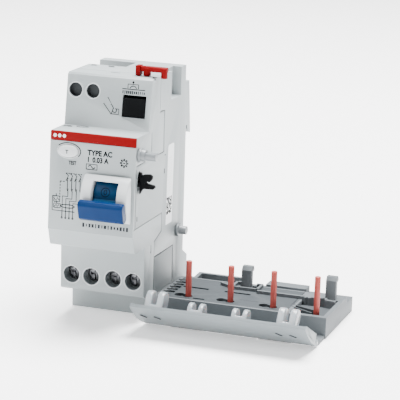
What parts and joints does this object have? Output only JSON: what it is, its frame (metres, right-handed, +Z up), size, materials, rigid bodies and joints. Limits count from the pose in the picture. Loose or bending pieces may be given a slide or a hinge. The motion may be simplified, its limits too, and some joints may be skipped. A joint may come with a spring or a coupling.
{
  "type": "residual current device",
  "caption": "Residual current block, two modules wide, with a four-module terminal tray and folding flap for the breaker beside it, toggle handle, test button and rail mounting.",
  "frame": {"origin": "middle of the case's seat on the mounting rail: centred across the case, on the rail's front plane, at the rail's mid height", "axes": "+X towards the tray, +Y into the rail (the front faces -Y), +Z up"},
  "size_m": [0.1053, 0.0743, 0.1001],
  "materials": {
    "housing_grey": "satin",
    "tray_grey": "satin",
    "flap_grey": "satin",
    "plug_white": "gloss",
    "signal_red": "gloss",
    "frame_white": "satin",
    "handle_blue": "gloss",
    "button_white": "satin",
    "black_plastic": "satin",
    "shaft_grey": "satin",
    "lever_nylon": "matte",
    "zinc_steel": "satin",
    "copper": "satin",
    "pin_copper": "satin",
    "lead_insulation": "matte",
    "coil_amber": "satin",
    "core_alloy": "matte",
    "board_green": "satin",
    "resistor_tan": "matte"
  },
  "bodies": {
    "case": {"base_shell": "housing_grey", "circuit_board": "board_green", "colour_band": "signal_red", "contact_pin_1": "pin_copper", "contact_pin_2": "pin_copper", "contact_pin_3": "pin_copper", "contact_pin_4": "pin_copper", "flap_hinge_pin": "zinc_steel", "fork_pin": "zinc_steel", "front_cover": "housing_grey", "handle_pin": "zinc_steel", "handle_spring": "zinc_steel", "lead_1": "lead_insulation", "lead_2": "lead_insulation", "lead_3": "lead_insulation", "lead_4": "lead_insulation", "locating_pin": "shaft_grey", "mechanism_frame": "zinc_steel", "relay_coil": "coil_amber", "relay_frame": "zinc_steel", "release_spring": "zinc_steel", "secondary_winding": "copper", "terminal_bar_1": "copper", "terminal_bar_2": "copper", "terminal_bar_3": "copper", "terminal_bar_4": "copper", "test_contact": "copper", "test_resistor": "resistor_tan", "test_spring": "zinc_steel", "toggle_frame": "frame_white", "toroid_core": "core_alloy", "toroid_cup": "black_plastic", "tray_base": "tray_grey", "tray_cover": "tray_grey", "trip_pin": "zinc_steel", "wire_exit_cover": "housing_grey"},
    "handle_body": {"handle": "handle_blue"},
    "fork_body": {"drive_fork": "black_plastic"},
    "shaft_body": {"trip_shaft": "shaft_grey"},
    "lever_body": {"trip_lever": "lever_nylon"},
    "plunger_body": {"relay_plunger": "zinc_steel"},
    "test_body": {"test_button": "button_white"},
    "release_body": {"release_button": "black_plastic"},
    "clip_body": {"coupling_clip": "signal_red"},
    "foot_body": {"rail_clip": "black_plastic"},
    "flap_body": {"terminal_flap": "flap_grey", "flap_plug_1": "plug_white", "flap_plug_2": "plug_white", "flap_plug_3": "plug_white", "flap_plug_4": "plug_white"},
    "screw_body_1": {"terminal_screw_1": "zinc_steel"},
    "cage_body_1": {"clamp_cage_1": "zinc_steel"},
    "screw_body_2": {"terminal_screw_2": "zinc_steel"},
    "cage_body_2": {"clamp_cage_2": "zinc_steel"},
    "screw_body_3": {"terminal_screw_3": "zinc_steel"},
    "cage_body_3": {"clamp_cage_3": "zinc_steel"},
    "screw_body_4": {"terminal_screw_4": "zinc_steel"},
    "cage_body_4": {"clamp_cage_4": "zinc_steel"}
  },
  "joints": [
    {"name": "handle_turn", "type": "hinge", "parent": "case", "child": "handle_body", "pos_m": [0.00725, -0.0515, -0.0011], "axis": [-1, 0, 0], "range_deg": [0, 40]},
    {"name": "fork_swing", "type": "hinge", "parent": "case", "child": "fork_body", "pos_m": [0.015, -0.0445, 0.0045], "axis": [1, 0, 0], "range_deg": [0, 16]},
    {"name": "plunger_slide", "type": "slide", "parent": "case", "child": "plunger_body", "axis": [0, -1, 0], "range_m": [0, 0.0015], "stiffness_N_per_m": 25},
    {"name": "lever_swing", "type": "hinge", "parent": "case", "child": "lever_body", "pos_m": [0.007, -0.041, 0.0155], "axis": [-1, 0, 0], "range_deg": [0, 13.3]},
    {"name": "shaft_turn", "type": "hinge", "parent": "case", "child": "shaft_body", "pos_m": [0.0095, -0.0519, 0.016], "axis": [1, 0, 0], "range_deg": [0, 9]},
    {"name": "test_press", "type": "slide", "parent": "case", "child": "test_body", "axis": [0, 1, 0], "range_m": [0, 0.0015], "stiffness_N_per_m": 400, "deforming": ["test_spring"]},
    {"name": "release_press", "type": "slide", "parent": "case", "child": "release_body", "axis": [0, 1, 0], "range_m": [0, 0.0015], "stiffness_N_per_m": 400, "deforming": ["release_spring"]},
    {"name": "clip_slide", "type": "slide", "parent": "case", "child": "clip_body", "axis": [1, 0, 0], "range_m": [0, 0.004]},
    {"name": "rail_clip_slide", "type": "slide", "parent": "case", "child": "foot_body", "axis": [0, 0, -1], "range_m": [0, 0.0035], "stiffness_N_per_m": 1500},
    {"name": "flap_hinge", "type": "hinge", "parent": "case", "child": "flap_body", "pos_m": [0.0528, -0.0424, -0.0516], "axis": [-1, 0, 0], "range_deg": [0, 56]},
    {"name": "screw_turn_1", "type": "hinge", "parent": "case", "child": "screw_body_1", "pos_m": [-0.0129, -0.0388, -0.0365], "axis": [0, 1, 0], "range_deg": [0, 2160]},
    {"name": "cage_slide_1", "type": "slide", "parent": "case", "child": "cage_body_1", "axis": [0, -1, 0], "range_m": [0, 0.0048]},
    {"name": "screw_turn_2", "type": "hinge", "parent": "case", "child": "screw_body_2", "pos_m": [-0.0046, -0.0388, -0.0365], "axis": [0, 1, 0], "range_deg": [0, 2160]},
    {"name": "cage_slide_2", "type": "slide", "parent": "case", "child": "cage_body_2", "axis": [0, -1, 0], "range_m": [0, 0.0048]},
    {"name": "screw_turn_3", "type": "hinge", "parent": "case", "child": "screw_body_3", "pos_m": [0.0046, -0.0388, -0.0365], "axis": [0, 1, 0], "range_deg": [0, 2160]},
    {"name": "cage_slide_3", "type": "slide", "parent": "case", "child": "cage_body_3", "axis": [0, -1, 0], "range_m": [0, 0.0048]},
    {"name": "screw_turn_4", "type": "hinge", "parent": "case", "child": "screw_body_4", "pos_m": [0.0129, -0.0388, -0.0365], "axis": [0, 1, 0], "range_deg": [0, 2160]},
    {"name": "cage_slide_4", "type": "slide", "parent": "case", "child": "cage_body_4", "axis": [0, -1, 0], "range_m": [0, 0.0048]}
  ],
  "couplings": [
    {"joint": "fork_swing", "follows": "handle_turn", "ratio": 0.35},
    {"joint": "lever_swing", "follows": "plunger_slide", "rad_per_m": 153},
    {"joint": "shaft_turn", "follows": "plunger_slide", "rad_per_m": 100},
    {"joint": "cage_slide_1", "follows": "screw_turn_1", "m_per_rad": 0.00012732},
    {"joint": "cage_slide_2", "follows": "screw_turn_2", "m_per_rad": 0.00012732},
    {"joint": "cage_slide_3", "follows": "screw_turn_3", "m_per_rad": 0.00012732},
    {"joint": "cage_slide_4", "follows": "screw_turn_4", "m_per_rad": 0.00012732}
  ]
}
